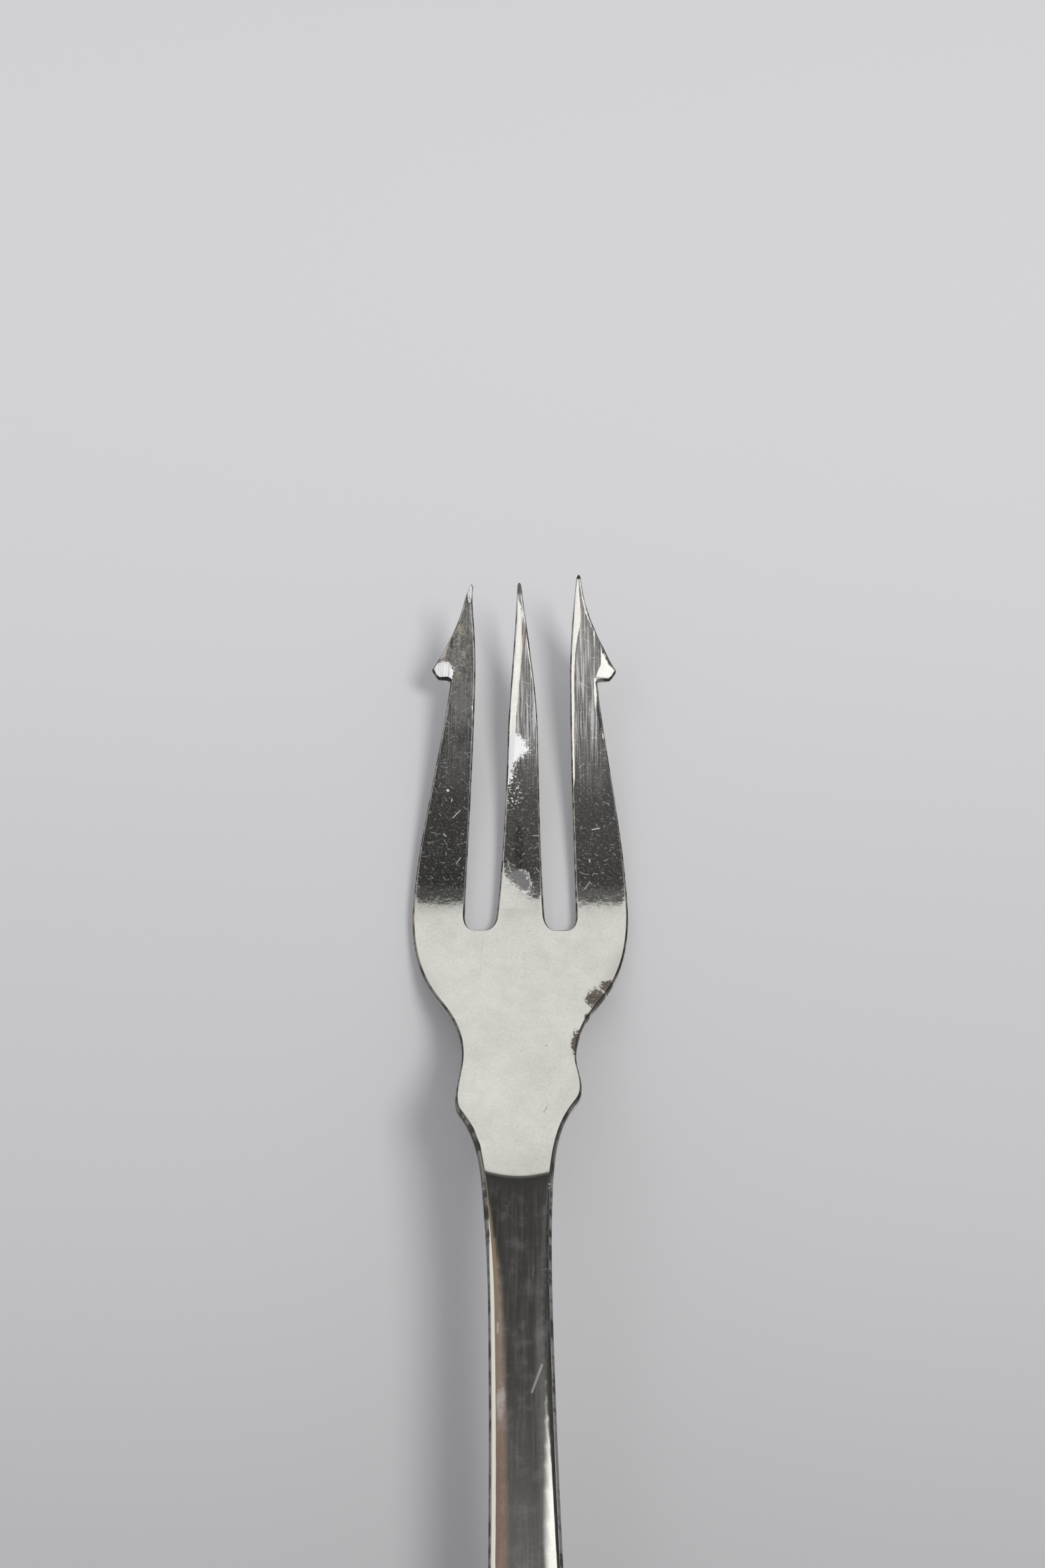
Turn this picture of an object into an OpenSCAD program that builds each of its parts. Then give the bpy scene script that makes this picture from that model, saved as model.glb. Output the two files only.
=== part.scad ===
// Pickle fork: three tines pierced from a flat head, with a barb outside each
// outer tine, a waisted neck, and one long handle that arches over the table.
// +Y points along the tines, +Z is up, and the fork lies on Z = 0, tines up.
// Stations along the fork are measured back from the tip of the right tine.

/* [Overall] */
// Length of the fork, from the longest tine's tip to the handle's end
fork_l = 148; // [130:1:170]
// Width across the shoulder, at its widest
head_w = 14.5; // [13:0.1:17]

/* [Tines] */
// Length of the tines, from the tips to the floors of the slots
tine_l = 27.9; // [24:0.1:32]
// Width of each slot near its floor
slot_w = 2.15; // [1.8:0.05:2.8]
// Width of each rounded corner of a slot's floor
slot_corner_w = 0.8; // [0.4:0.05:0.88]
// Length of each rounded corner of a slot's floor
slot_corner_l = 1.7; // [0.8:0.05:2.2]
// Width of the middle tine at its root
mid_root_w = 3.2; // [2.4:0.1:3.6]
// Width of an outer tine just behind its barb
tine_neck_w = 1.9; // [1.5:0.05:2.3]
// Distance from an outer tine's inner edge to the fork's middle, at the barb
tine_inner = 3.3; // [2.9:0.05:3.7]
// Width of the blunt end of each tine
tip_w = 0.26; // [0.15:0.01:0.4]
// How far out from the middle the outer tips stand
tip_out = 3.85; // [3.5:0.05:4.3]
// Length of the middle tine's tapered point
mid_point_l = 9.6; // [7:0.1:13]
// Width of the middle tine where its point starts
mid_point_w = 1.95; // [1.5:0.05:2.4]

/* [Barbs] */
// Distance from the tips back to the barb's point
barb_back = 6.95; // [5.5:0.05:9]
// How far the barb stands out from the tine
barb_out = 1.35; // [0.8:0.05:1.7]
// Length of the barb's undercut side, from its point to the notch
barb_under = 0.9; // [0.75:0.05:1.5]
// Length of the barb's blunt point
barb_blunt = 0.14; // [0.1:0.02:0.3]
// How steeply the barb's top face is bevelled down towards its point, as a share of its width
barb_bevel = 0.35; // [0:0.05:0.5]
// Length behind the barb's notch over which the bevel fades
barb_bevel_l = 4; // [2:0.5:8]

/* [Neck] */
// Distance from the widest part of the shoulder back to the slots' floors
shoulder_back = 1.4; // [0.6:0.1:3]
// Distance from the slots' floors back to the waist
waist_back = 12.5; // [10:0.1:15]
// Width of the waist
waist_w = 7.2; // [6:0.1:8]
// Distance from the waist back to the bead on the right side
bead_back = 2.9; // [2.2:0.1:4]
// Width across the bead, below the waist
bead_w = 7.8; // [7:0.1:9]
// Distance from the bead back to where the stem starts
taper_l = 8.5; // [7:0.1:11]

/* [Handle] */
// Width of the stem at its narrowest
stem_w = 3.75; // [3:0.05:4.5]
// Distance from the stem's start back to its narrowest place
stem_back = 6; // [4:0.5:10]
// Width of the handle near its end
handle_w = 9; // [7:0.1:9.4]
// Length of the handle's rounded end
end_l = 8; // [6:0.5:12]
// Length of the flat that the handle's end rests on
rest_l = 5; // [3:0.5:8]

/* [Thickness] */
// Thickness of a tine at its tip
tip_t = 0.4; // [0.25:0.05:0.6]
// Thickness of a tine at its barb
barb_t = 0.8; // [0.6:0.05:1.2]
// Thickness of the head at the slots' floors
head_t = 0.9; // [0.8:0.05:1.6]
// Thickness of the neck at the waist
neck_t = 1.1; // [0.9:0.05:1.6]
// Thickness of the stem
stem_t = 1.9; // [1.6:0.05:2.4]
// Thickness of the handle's end
end_t = 1.7; // [1.2:0.05:2.2]
// Rounding along the head's and tines' upper edges
head_edge_r = 0.2; // [0.1:0.02:0.35]
// Rounding along the head's and tines' lower edges
head_under_r = 0.54; // [0.1:0.02:0.6]
// Rounding along the lower edges at the barbs
barb_under_r = 0.24; // [0.06:0.02:0.4]
// Length on each side of the barb's point over which its lower edge is less rounded
barb_under_l = 1.8; // [1:0.1:3]
// Rounding along the handle's upper edges
handle_edge_r = 0.4; // [0.3:0.05:0.7]
// Rounding along the handle's lower edges
handle_under_r = 1.1; // [0.3:0.05:1.2]
// Height of the crown on top of the handle
handle_crown = 0.38; // [0.2:0.02:0.55]
// Height of the crown on top of each tine, at its tip
tine_crown = 0.12; // [0.05:0.01:0.2]

/* [Side profile] */
// Height of the underside at the tines' tips
tip_lift = 5.2; // [4:0.1:8]
// Height of the underside at the top of the arch, behind the neck
arch_lift = 6.3; // [5:0.1:9]
// Distance from the heel back to the top of the arch
arch_back = 23.3; // [20:0.1:28]
// Length over which the neck turns up, behind the heel
heel_turn = 5.5; // [4:0.1:8]
// Length over which the neck levels out, at the top of the arch
arch_turn = 5.5; // [4:0.1:8]

/* [Hand-made differences] */
// How much shorter the left tine is
left_short = 0.75; // [0:0.05:1.5]
// How much shorter the middle tine is
mid_short = 0.6; // [0:0.05:1.5]
// How far the right tine's tip leans to the right
right_lean = 0.2; // [-0.4:0.05:0.4]
// How far the left tine's tip leans to the right
left_lean = 0; // [-0.4:0.05:0.4]
// How far the last of the left tine's tip is bent to the right
left_hook = 0.2; // [0:0.05:0.4]
// Length of the left tine's bent tip
left_hook_l = 1.6; // [1:0.1:2.5]
// How much slimmer the left tine's neck and barb are
left_slim = 0.18; // [0:0.01:0.2]
// How far the middle tine's tip leans to the left
mid_lean = 0.25; // [-0.4:0.05:0.4]
// How far the middle tine bows to the right, half-way along
mid_bow = 0.1; // [0:0.02:0.2]
// How much further back the left side's bead lies
bead_skew = 1.3; // [0:0.1:1.6]
// Lean of the handle to the right of the head's axis, in degrees
handle_lean = 1.4; // [0:0.1:1.5]

/* [Hidden] */

// Stations back from the tips
tip_y = fork_l / 2;
floor_s = tine_l;
wide_s = tine_l - shoulder_back;
waist_s = tine_l + waist_back;
stem_s = waist_s + bead_back + bead_skew + taper_l;
thin_s = stem_s + stem_back;
swell_s = fork_l - end_l;
heel_s = tine_l;
arch_s = heel_s + arch_back;

// The tines are let into the head this little, so that their faces never coincide
let_in = 0.02;
// Length of a tine's root inside the head
root_l = 1.2;

// Value at place s of the smooth curve through keys [place, value, slope]
function seg(a, b, t) =
    (2 * t * t * t - 3 * t * t + 1) * a[1] + (3 * t * t - 2 * t * t * t) * b[1]
    + (b[0] - a[0]) * ((t * t * t - 2 * t * t + t) * a[2] + (t * t * t - t * t) * b[2]);
function curve(keys, s, i = 0) =
    s <= keys[0][0] ? keys[0][1] + (s - keys[0][0]) * keys[0][2]
    : i >= len(keys) - 1 ? keys[i][1] + (s - keys[i][0]) * keys[i][2]
    : s <= keys[i + 1][0] ? seg(keys[i], keys[i + 1], (s - keys[i][0]) / (keys[i + 1][0] - keys[i][0]))
    : curve(keys, s, i + 1);
// Places from a up to, but not at, b, in n equal steps
function span(a, b, n) = [for (i = [0 : n - 1]) a + (b - a) * i / n];

// Side profile: top height, thickness, crown and edge rounding along the fork
rest_s = swell_s - rest_l;
tip_top = tip_lift + tip_t;
arch_top = arch_lift + stem_t;
neck_rise = (arch_top - head_t) / (arch_back - (heel_turn + arch_turn) / 2);
full_crown_s = thin_s + 0.17 * (swell_s - thin_s);
top_keys = [
    [0, tip_top, -2 * (tip_top - head_t) / tine_l],
    [heel_s, head_t, 0],
    [heel_s + heel_turn, head_t + neck_rise * heel_turn / 2, neck_rise],
    [arch_s - arch_turn, arch_top - neck_rise * arch_turn / 2, neck_rise],
    [arch_s, arch_top, 0],
    [(arch_s + swell_s) / 2, end_t + 0.68 * (arch_top - end_t), -1.4 * arch_top / (swell_s - arch_s)],
    [rest_s, end_t, 0],
    [fork_l, end_t, 0]
];
thick_keys = [
    [0, tip_t, (barb_t - tip_t) / barb_back],
    [barb_back, barb_t, (head_t - barb_t) / (floor_s - barb_back)],
    [floor_s, head_t, (head_t - barb_t) / (floor_s - barb_back)],
    [waist_s, neck_t, (neck_t - head_t) / waist_back],
    [arch_s, stem_t, 0],
    [thin_s, stem_t, 0],
    [rest_s, end_t, 0],
    [fork_l, end_t, 0]
];
// The underside follows the top face, and lies on the table at the heel and at the handle's end
function under(s) = s >= rest_s ? 0 : max(0, curve(top_keys, s) - curve(thick_keys, s));
crown_keys = [
    [floor_s, 0, 0],
    [waist_s, handle_crown * 0.05, 0],
    [arch_s, handle_crown * 0.5, handle_crown * 0.6 / (full_crown_s - arch_s)],
    [full_crown_s, handle_crown, 0],
    [fork_l, handle_crown * 0.8, 0]
];
round_keys = [
    [floor_s, head_edge_r, 0],
    [waist_s, head_edge_r, 0],
    [thin_s, handle_edge_r, 0],
    [fork_l, handle_edge_r, 0]
];
under_round_keys = [
    [floor_s, head_under_r, 0],
    [waist_s, head_under_r, 0],
    [arch_s, handle_under_r, 0],
    [fork_l, handle_under_r, 0]
];
// Along the tines the lower edge is less rounded near the barb's point
function tine_under_r(s) =
    head_under_r + (barb_under_r - head_under_r) * max(0, 1 - pow((s - barb_back) / barb_under_l, 2));

// Outline of one side, behind the slots' floors: shoulder, waist, bead, stem, handle
function side_keys(skew) =
    let (
        wide = head_w / 2,
        waist = waist_w / 2,
        bead = bead_w / 2,
        stem = stem_w / 2,
        swell = handle_w / 2,
        bead_s = waist_s + bead_back + skew,
        ogee_s = wide_s + 0.61 * (waist_s - wide_s)
    )
    [
        [wide_s, wide, 0],
        [ogee_s, waist + 0.4 * (wide - waist), -2.1 * (wide - waist) / (waist_s - wide_s)],
        [waist_s, waist, 0],
        [bead_s, bead, 0],
        [bead_s + 0.16 * taper_l, bead - 0.15 * (bead - stem), -2.3 * (bead - stem) / taper_l],
        [bead_s + taper_l, stem + 0.09 * (bead - stem), -0.25 * (bead - stem) / taper_l],
        [thin_s, stem, 0],
        [(thin_s + swell_s) / 2, stem + 0.4 * (swell - stem), 1.4 * (swell - stem) / (swell_s - thin_s)],
        [swell_s, swell, 0]
    ];
left_keys = side_keys(bead_skew);
right_keys = side_keys(0);

// Half-round closing of the handle's end: 1 before it starts, a thin sliver at the end
end_sliver = 0.07;
function end_share(s) =
    s <= swell_s ? 1 : sqrt(1 - (1 - pow(end_sliver, 2)) * pow((s - swell_s) / end_l, 2));
// The handle's middle line leans to one side behind the neck
function middle(s) = s <= arch_s ? 0 : (s - arch_s) * tan(handle_lean);

// One cross-section, from x0 to x1 and z0 to z1, with rounded edges and a crowned top
corner_n = 3;
top_n = 6;
function corner(cx, cz, r, a0) =
    [for (k = [0 : corner_n]) let (a = a0 + 90 * k / corner_n) [cx + r * cos(a), cz + r * sin(a)]];
// How much of the crown a point gets: all at the rim, none below the edge's rounding
function crowned(p, m, w, low, rim) = (1 - pow((p[0] - m) / w, 2)) * max(0, (p[1] - low) / (rim - low));
function section(x0, x1, z0, z1, r_top, r_under, crown) =
    let (
        m = (x0 + x1) / 2,
        w = (x1 - x0) / 2,
        t = z1 - z0 - crown,
        e = min(r_top, 0.8 * w, 0.35 * t),
        u = min(r_under, 0.8 * w, 0.94 * t - e),
        rim = z1 - crown,
        flat = concat(
            corner(x1 - e, rim - e, e, 0),
            [for (k = [1 : top_n - 1]) [m + (w - e) * (1 - 2 * k / top_n), rim]],
            corner(x0 + e, rim - e, e, 90)
        )
    )
    concat(
        corner(x0 + u, z0 + u, u, 180),
        [[m, z0]],
        corner(x1 - u, z0 + u, u, 270),
        [for (p = flat) [p[0], p[1] + crown * crowned(p, m, w, z0 + u, rim)]]
    );

// A closed skin over a list of rings [place, section], from the tips' side to the handle's
module skin(rings) {
    n = len(rings[0][1]);
    last = len(rings) - 1;
    points = [for (g = rings) for (p = g[1]) [p[0], tip_y - g[0], p[1]]];
    sides = [
        for (i = [0 : last - 1]) for (j = [0 : n - 1])
        for (f = [
            [i * n + j, (i + 1) * n + (j + 1) % n, i * n + (j + 1) % n],
            [i * n + j, (i + 1) * n + j, (i + 1) * n + (j + 1) % n]
        ]) f
    ];
    front = [for (j = [0 : n - 1]) j];
    back = [for (j = [n - 1 : -1 : 0]) last * n + j];
    polyhedron(points, concat(sides, [front, back]));
}

// Head behind the slots, neck, stem and handle
function shank_ring(s) =
    let (
        k = end_share(s),
        top = curve(top_keys, s)
    )
    [s, section(
        middle(s) - k * curve(left_keys, s), middle(s) + k * curve(right_keys, s),
        under(s), top, curve(round_keys, s), curve(under_round_keys, s), curve(crown_keys, s) * k
    )];
module shank() {
    stations = concat(
        span(floor_s, stem_s, 34),
        span(stem_s, thin_s, 5),
        span(thin_s, swell_s, 26),
        [for (a = [0 : 10 : 80]) swell_s + end_l * sin(a)],
        [fork_l]
    );
    skin([for (s = stations) shank_ring(s)]);
}

// How far a point of a tine's ring is lowered: outside the line of the tine, on the top face only
function bevel(p, s, half, high) =
    barb_bevel * max(0, abs(p[0]) - tine_inner - tine_neck_w) * max(0, p[1] - half) / (high - half)
    * min(1, max(0, 1 - (s - barb_back - barb_under) / barb_bevel_l));
// A tine's ring between its two edges, which are functions of the place
function tine_ring(s, x0, x1, tip_s) =
    let (
        low = under(s) + let_in,
        high = curve(top_keys, s) - let_in,
        c = tine_crown * max(0, 1 - (s - tip_s) / (floor_s * 0.8)),
        ring = section(x0, x1, low, high, head_edge_r, tine_under_r(s), c)
    )
    [s, [for (p = ring) [p[0], p[1] - bevel(p, s, (low + high) / 2, high)]]];

// Rounded corner where a tine's inner edge meets the slot's floor, a quarter of an ellipse
corner_s = floor_s - slot_corner_l;
function flare(s) = slot_corner_w * (1 - sqrt(1 - pow(min(1, max(0, s - corner_s) / slot_corner_l), 2)));

// Edges of an outer tine, drawn for the right side: x of the inner and the outer edge
slot_out = mid_root_w / 2 + slot_w;
inner_keys = [
    [0, tip_out - tip_w / 2, -0.1],
    [barb_back + barb_under, tine_inner, 0.01],
    [corner_s, slot_out, 0.02]
];
function outer_keys(notch) = [
    [0, tip_out + tip_w / 2, 0.1],
    [barb_back - barb_blunt / 2, notch + barb_out, 0.62],
    [barb_back + barb_blunt / 2, notch + barb_out, -0.35],
    [barb_back + 0.5 * barb_under, notch + 0.45 * barb_out, -2.1 * barb_out / barb_under],
    [barb_back + barb_under, notch, 0.11],
    [wide_s, head_w / 2, 0.02]
];
module outer_tine(side, tip_s, lean, hook, slim) {
    edge_keys = outer_keys(tine_inner + tine_neck_w - slim);
    stations = concat(
        span(tip_s, barb_back - barb_blunt / 2, 16),
        [barb_back - barb_blunt / 2],
        span(barb_back + barb_blunt / 2, barb_back + barb_under, 8),
        span(barb_back + barb_under, corner_s, 14),
        [for (a = [0 : 15 : 75]) corner_s + slot_corner_l * sin(a)],
        [floor_s, floor_s + root_l]
    );
    skin([
        for (s = stations)
        let (
            // Ahead of the barb, a shorter tine is drawn in towards its barb
            place = s >= barb_back ? s : (s - tip_s) * barb_back / (barb_back - tip_s),
            shift = lean * pow(max(0, 1 - s / wide_s), 1.5)
                + hook * pow(max(0, 1 - (s - tip_s) / left_hook_l), 2),
            a = curve(inner_keys, place) - flare(s),
            b = (s >= wide_s ? curve(right_keys, s) : curve(edge_keys, place)) - let_in
        )
        side > 0 ? tine_ring(s, a + shift, b + shift, tip_s) : tine_ring(s, shift - b, shift - a, tip_s)
    ]);
}

// Half-width of the middle tine
mid_point_s = mid_short + mid_point_l;
mid_gain = (mid_root_w - mid_point_w) / 2;
mid_keys = [
    [mid_short, tip_w / 2, 0.08],
    [mid_point_s, mid_point_w / 2, 0.06],
    [mid_point_s + 0.25 * (corner_s - mid_point_s), mid_point_w / 2 + 0.2 * mid_gain, 0.02],
    [corner_s, mid_root_w / 2, 0.07]
];
module middle_tine() {
    stations = concat(
        span(mid_short, mid_point_s, 14),
        span(mid_point_s, corner_s, 12),
        [for (a = [0 : 15 : 75]) corner_s + slot_corner_l * sin(a)],
        [floor_s, floor_s + root_l]
    );
    skin([
        for (s = stations)
        let (
            lean = mid_bow * sin(180 * min(1, s / floor_s))
                - mid_lean * pow(max(0, 1 - s / mid_point_s), 1.5),
            w = curve(mid_keys, s) + flare(s)
        )
        tine_ring(s, lean - w, lean + w, mid_short)
    ]);
}

module fork() {
    color("silver") union() {
        shank();
        outer_tine(-1, left_short, left_lean, left_hook, left_slim);
        middle_tine();
        outer_tine(1, 0, right_lean, 0, 0);
    }
}

fork();
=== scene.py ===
# %% [markdown]
# # A worn silver pickle fork
# The fork is one piece of silver-plated metal. This lesson builds it the way it was made: a flat
# blank is cut to its outline, its edges are rounded, and a Geometry Nodes tree then bends and
# thickens the blank into the finished fork. The silver, its scratches and its tarnish come from
# shader nodes, and the room that the metal mirrors comes from the world.

import math

import bpy
import numpy as np
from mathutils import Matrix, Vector
from mathutils.geometry import delaunay_2d_cdt
from mathutils.kdtree import KDTree


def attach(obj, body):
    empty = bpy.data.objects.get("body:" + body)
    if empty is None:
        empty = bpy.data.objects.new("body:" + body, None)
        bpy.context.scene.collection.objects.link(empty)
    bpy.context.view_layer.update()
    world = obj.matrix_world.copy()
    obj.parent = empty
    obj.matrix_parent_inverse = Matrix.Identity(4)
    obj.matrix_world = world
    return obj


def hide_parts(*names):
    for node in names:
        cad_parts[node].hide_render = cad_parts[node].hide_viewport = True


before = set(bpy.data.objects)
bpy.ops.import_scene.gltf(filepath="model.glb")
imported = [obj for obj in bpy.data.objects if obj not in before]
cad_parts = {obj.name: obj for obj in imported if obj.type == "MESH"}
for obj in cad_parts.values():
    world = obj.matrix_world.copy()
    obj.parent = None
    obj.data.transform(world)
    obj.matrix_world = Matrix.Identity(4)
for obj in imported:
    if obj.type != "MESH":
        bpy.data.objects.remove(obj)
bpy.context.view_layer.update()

# %% [markdown]
# ## Sizes
# Every size is in millimetres. A station s is the distance back from the right tine's tip, which
# is the longest one, so y = 74 - s. The outline is a set of smooth curves through a few keys of
# (station, half-width, slope). They are the CAD source's keys, but for the barbs' blunt faces and
# for the corners of the slots' floors, which are squarer here, as the photograph shows them.

# %% Sizes of the fork
FORK_L, HEAD_W, TINE_L = 148.0, 14.5, 27.9
TIP_Y = FORK_L / 2
SLOT_W, SLOT_CORNER_W, SLOT_CORNER_L = 2.15, 0.62, 1.2
MID_ROOT_W, MID_POINT_L, MID_POINT_W = 3.2, 9.6, 1.95
TINE_INNER, TINE_NECK_W, TIP_W, TIP_OUT = 3.3, 1.9, 0.26, 3.85
BARB_BACK, BARB_OUT, BARB_UNDER, BARB_BLUNT = 6.95, 1.35, 0.9, 0.14
BARB_FACE_L, BARB_FACE_W, BARB_FOOT_L = 0.8, 0.45, 0.5
WAIST_W, BEAD_BACK, BEAD_W, TAPER_L = 7.2, 2.9, 7.8, 8.5
STEM_W, HANDLE_W, END_L, REST_L = 3.75, 9.0, 8.0, 5.0
TIP_T, BARB_T, HEAD_T, NECK_T, STEM_T, END_T = 0.4, 0.8, 0.9, 1.1, 1.9, 1.7
HEAD_EDGE_R, HANDLE_EDGE_R, HEAD_UNDER_R, HANDLE_UNDER_R = 0.16, 0.4, 0.54, 1.1
BARB_UNDER_R, BARB_UNDER_L = 0.24, 1.8
HANDLE_CROWN, TINE_CROWN = 0.38, 0.12
TIP_LIFT, ARCH_LIFT, ARCH_BACK, HEEL_TURN, ARCH_TURN = 5.2, 6.3, 23.3, 5.5, 5.5
LEFT_SHORT, MID_SHORT, RIGHT_LEAN, LEFT_HOOK, LEFT_HOOK_L = 0.75, 0.6, 0.2, 0.2, 1.6
LEFT_SLIM, MID_LEAN, MID_BOW, BEAD_SKEW, HANDLE_LEAN = 0.18, 0.25, 0.1, 1.3, 1.4

FLOOR_S = TINE_L
WIDE_S = TINE_L - 1.4
WAIST_S = TINE_L + 12.5
STEM_S = WAIST_S + BEAD_BACK + BEAD_SKEW + TAPER_L
THIN_S = STEM_S + 6
SWELL_S = FORK_L - END_L
ARCH_S = FLOOR_S + ARCH_BACK
REST_S = SWELL_S - REST_L
CORNER_S = FLOOR_S - SLOT_CORNER_L
CAP_L = 0.16
COARSE_S = 56.0  # behind this the plain handle needs only a coarser mesh
print("stations: slots' floors", FLOOR_S, "waist", WAIST_S, "arch", ARCH_S, "thinnest", round(THIN_S, 1))


# %% A smooth curve through keys
def curve(keys, s):
    """Value at station s of the smooth curve through keys of (station, value, slope)."""
    s, k = np.asarray(s, float), np.array(keys, float)
    i = np.clip(np.searchsorted(k[:, 0], s, side="right") - 1, 0, len(k) - 2)
    a, b = k[i], k[i + 1]
    h = b[..., 0] - a[..., 0]
    t = np.clip((s - a[..., 0]) / h, 0, 1)
    inside = (2 * t**3 - 3 * t**2 + 1) * a[..., 1] + (3 * t**2 - 2 * t**3) * b[..., 1]
    inside = inside + h * ((t**3 - 2 * t**2 + t) * a[..., 2] + (t**3 - t**2) * b[..., 2])
    return inside + np.minimum(s - k[0, 0], 0) * k[0, 2] + np.maximum(s - k[-1, 0], 0) * k[-1, 2]


# %% [markdown]
# ## Outline
# The tines are pierced: each has its own inner and outer edge. The barbs' edge runs out to a
# point, slopes back along a blunt face and turns in to the notch. Behind the slots one left and
# one right curve draw the shoulder, the waist, the bead, the stem and the handle.

# %% Keys of the outline
NOTCH = TINE_INNER + TINE_NECK_W


def outer_keys(notch):
    """Outer edge of a tine with its barb; notch is where the edge lies just behind the barb."""
    face_s = BARB_BACK + BARB_FACE_L
    return [
        (0, TIP_OUT + TIP_W / 2, 0.1),
        (BARB_BACK - BARB_BLUNT / 2, notch + BARB_OUT, 0.62),
        (BARB_BACK + BARB_BLUNT / 2, notch + BARB_OUT, -0.5),
        (face_s, notch + BARB_OUT - BARB_FACE_W, -0.9),
        (face_s + 0.1, notch + 0.3 * BARB_OUT, -4),
        (face_s + BARB_FOOT_L, notch + 0.05, 0.11),
        (WIDE_S, HEAD_W / 2, 0.02),
    ]


inner_keys = [
    (0, TIP_OUT - TIP_W / 2, -0.1),
    (BARB_BACK + BARB_UNDER, TINE_INNER, 0.01),
    (CORNER_S, MID_ROOT_W / 2 + SLOT_W, 0.02),
]
MID_POINT_S = MID_SHORT + MID_POINT_L
MID_GAIN = (MID_ROOT_W - MID_POINT_W) / 2
mid_keys = [
    (MID_SHORT, TIP_W / 2, 0.08),
    (MID_POINT_S, MID_POINT_W / 2, 0.06),
    (MID_POINT_S + 0.25 * (CORNER_S - MID_POINT_S), MID_POINT_W / 2 + 0.2 * MID_GAIN, 0.02),
    (CORNER_S, MID_ROOT_W / 2, 0.07),
]


def side_keys(skew):
    """One side of the shank; skew moves the bead back on that side."""
    wide, waist, bead, stem, swell = HEAD_W / 2, WAIST_W / 2, BEAD_W / 2, STEM_W / 2, HANDLE_W / 2
    bead_s = WAIST_S + BEAD_BACK + skew
    ogee_s = WIDE_S + 0.61 * (WAIST_S - WIDE_S)
    return [
        (WIDE_S, wide, 0),
        (ogee_s, waist + 0.4 * (wide - waist), -2.1 * (wide - waist) / (WAIST_S - WIDE_S)),
        (WAIST_S, waist, 0),
        (bead_s, bead, 0),
        (bead_s + 0.16 * TAPER_L, bead - 0.15 * (bead - stem), -2.3 * (bead - stem) / TAPER_L),
        (bead_s + TAPER_L, stem + 0.09 * (bead - stem), -0.25 * (bead - stem) / TAPER_L),
        (THIN_S, stem, 0),
        ((THIN_S + SWELL_S) / 2, stem + 0.4 * (swell - stem), 1.4 * (swell - stem) / (SWELL_S - THIN_S)),
        (SWELL_S, swell, 0),
    ]


left_keys, right_keys = side_keys(BEAD_SKEW), side_keys(0)


# %% Edges as functions of the station
def flare(s):
    """Rounded corner of a slot's floor: a quarter of an ellipse."""
    t = np.clip((s - CORNER_S) / SLOT_CORNER_L, 0, 1)
    return SLOT_CORNER_W * (1 - np.sqrt(1 - t * t))


def cap(s, tip_s):
    """Share of the width left in the rounded end of a tine."""
    t = np.clip(1 - (s - tip_s) / CAP_L, 0, 1)
    return np.sqrt(1 - t * t)


def outer_tine(s, side):
    """Left and right edge of an outer tine; side is 1 for the right one, -1 for the left one."""
    tip_s, slim = (0, 0) if side > 0 else (LEFT_SHORT, LEFT_SLIM)
    place = np.where(s >= BARB_BACK, s, (s - tip_s) * BARB_BACK / (BARB_BACK - tip_s))
    a = curve(inner_keys, place) - flare(s)
    b = np.where(s >= WIDE_S, curve(right_keys, s), curve(outer_keys(NOTCH - slim), place))
    middle, half = (a + b) / 2, (b - a) / 2 * cap(s, tip_s)
    lean = (RIGHT_LEAN if side > 0 else 0) * np.clip(1 - s / WIDE_S, 0, 1) ** 1.5
    hook = (0 if side > 0 else LEFT_HOOK) * np.clip(1 - (s - tip_s) / LEFT_HOOK_L, 0, 1) ** 2
    return side * middle + lean + hook - half, side * middle + lean + hook + half


def middle_tine(s):
    """Left and right edge of the middle tine, which bows and leans a little."""
    bow = MID_BOW * np.sin(np.pi * np.clip(s / FLOOR_S, 0, 1))
    lean = bow - MID_LEAN * np.clip(1 - s / MID_POINT_S, 0, 1) ** 1.5
    half = curve(mid_keys, s) * cap(s, MID_SHORT) + flare(s)
    return lean - half, lean + half


def shank(s):
    """Left and right edge behind the slots' floors."""
    share = np.sqrt(1 - 0.9951 * np.clip((s - SWELL_S) / END_L, 0, 1) ** 2)
    middle = np.maximum(s - ARCH_S, 0) * math.tan(math.radians(HANDLE_LEAN))
    return middle - share * curve(left_keys, s), middle + share * curve(right_keys, s)


# %% One closed loop of points
def dense(a, b):
    """Stations from a to b, closer together near both ends, where caps and corners turn."""
    t = np.linspace(0, math.pi, max(int((b - a) / 0.008), 400))
    return a + (b - a) * (1 - np.cos(t)) / 2


def points(x, s):
    return np.stack([x, s], 1)


body_s, right_s = dense(FLOOR_S, FORK_L), dense(0, FLOOR_S)
left_s, mid_s = dense(LEFT_SHORT, FLOOR_S), dense(MID_SHORT, FLOOR_S)
raw = np.concatenate([
    points(outer_tine(right_s, 1)[1], right_s),
    points(shank(body_s)[1], body_s),
    points(shank(body_s)[0], body_s)[::-1],
    points(outer_tine(left_s, -1)[0], left_s)[::-1],
    points(outer_tine(left_s, -1)[1], left_s),
    points(middle_tine(mid_s)[0], mid_s)[::-1],
    points(middle_tine(mid_s)[1], mid_s),
    points(outer_tine(right_s, 1)[0], right_s)[::-1],
])


def spacing(p):
    """Distance between outline points: fine at the tips, the barbs and the slots' floors."""
    x, s = np.abs(p[:, 0]), p[:, 1]
    gap = 0.13 + 0.17 * np.clip((s - COARSE_S) / 14, 0, 1)
    gap = np.where((s > 25.6) & (s < 28.4) & (x < 4.8), 0.08, gap)
    gap = np.where((s > 6.0) & (s < 8.6) & (x > 4.2), 0.055, gap)
    gap = np.where(s < 1.6, 0.06, gap)
    return np.where(s > FORK_L - 3, 0.12, gap)


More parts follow.
